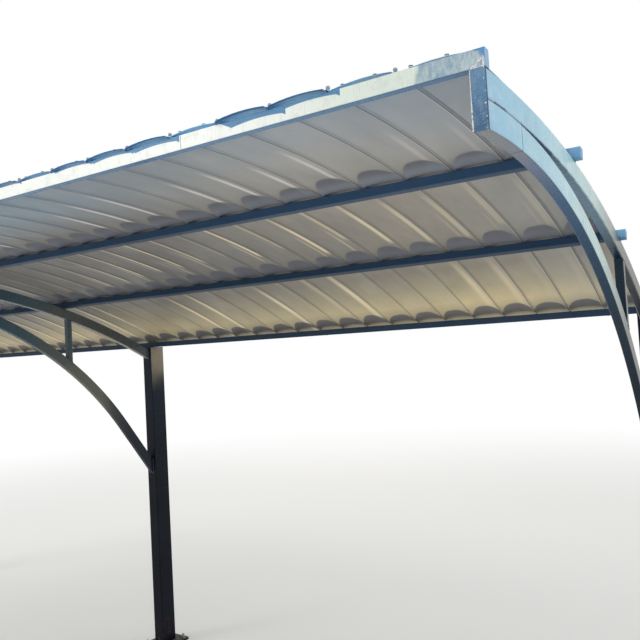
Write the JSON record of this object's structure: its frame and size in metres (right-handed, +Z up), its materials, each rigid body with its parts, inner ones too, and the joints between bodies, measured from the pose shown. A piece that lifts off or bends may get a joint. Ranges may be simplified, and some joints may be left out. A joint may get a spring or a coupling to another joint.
{
  "type": "carport",
  "caption": "Cantilever carport: back row of steel posts, double curved tube ribs reaching forward, fascia and purlins across them, and a curved roof of narrow arched metal panels.",
  "frame": {"origin": "centre of the middle post's base plate, on its underside at ground level", "axes": "+X along the row of posts to the right as seen from the open front, +Y from the open front to the back where the posts stand, +Z up"},
  "size_m": [8.26, 2.9236, 3.1757],
  "materials": {
    "frame_paint": "glossy dark blue-grey enamel over steel tube, weathered",
    "roof_sheet": "silvery metal sheet with a soft gloss"
  },
  "bodies": {
    "root": {"base_plate_left": "frame_paint", "base_plate_middle": "frame_paint", "base_plate_right": "frame_paint", "post_left": "frame_paint", "post_middle": "frame_paint", "post_right": "frame_paint", "post_cap_left": "frame_paint", "post_cap_middle": "frame_paint", "post_cap_right": "frame_paint", "upper_chord_left": "frame_paint", "upper_chord_middle": "frame_paint", "upper_chord_right": "frame_paint", "lower_chord_left": "frame_paint", "lower_chord_middle": "frame_paint", "lower_chord_right": "frame_paint", "lower_chord_toe_left": "frame_paint", "lower_chord_toe_middle": "frame_paint", "lower_chord_toe_right": "frame_paint", "nose_plate_left": "frame_paint", "nose_plate_middle": "frame_paint", "nose_plate_right": "frame_paint", "strut_left": "frame_paint", "strut_middle": "frame_paint", "strut_right": "frame_paint", "fascia_1": "frame_paint", "fascia_2": "frame_paint", "fascia_3": "frame_paint", "fascia_end_caps": "frame_paint", "purlin_front": "frame_paint", "purlin_middle": "frame_paint", "purlin_rear": "frame_paint", "purlin_end_caps": "frame_paint", "roof_sheet_1": "roof_sheet", "roof_sheet_2": "roof_sheet", "roof_sheet_3": "roof_sheet", "roof_sheet_4": "roof_sheet", "roof_sheet_5": "roof_sheet", "roof_sheet_6": "roof_sheet", "roof_sheet_7": "roof_sheet", "roof_sheet_8": "roof_sheet"}
  },
  "joints": []
}
